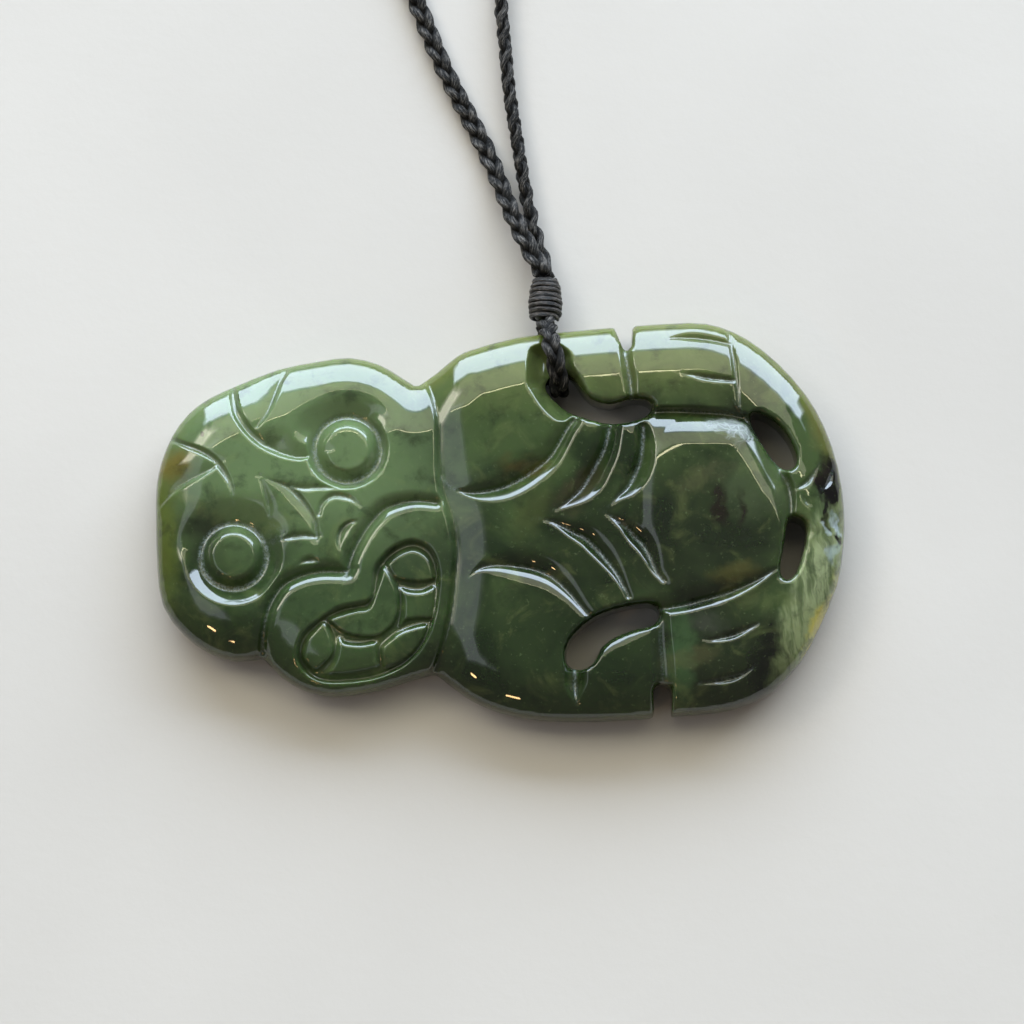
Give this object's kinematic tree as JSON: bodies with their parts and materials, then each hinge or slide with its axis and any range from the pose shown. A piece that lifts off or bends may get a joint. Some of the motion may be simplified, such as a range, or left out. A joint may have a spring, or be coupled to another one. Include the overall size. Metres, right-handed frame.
{
  "type": "hei tiki pendant on a plaited cord",
  "caption": "Flat carved greenstone figure with a tilted head, pierced between its limbs, hung by a black plaited cord through the window under one arm.",
  "frame": {"origin": "centre of the figure's flat back, where it rests", "axes": "+Z out of the carved front, -X to the crown of the head, +X to the feet, +Y to the side the cord leaves from"},
  "size_m": [0.1239, 0.3296, 0.0077],
  "materials": {
    "greenstone": "polished",
    "plaited_cord": "waxed",
    "whipping_thread": "waxed"
  },
  "bodies": {
    "root": {"tiki": "greenstone", "hanging_loop": "plaited_cord", "whipping": "whipping_thread", "cord_left": "plaited_cord", "cord_right": "plaited_cord", "join_whipping": "whipping_thread"}
  },
  "joints": []
}
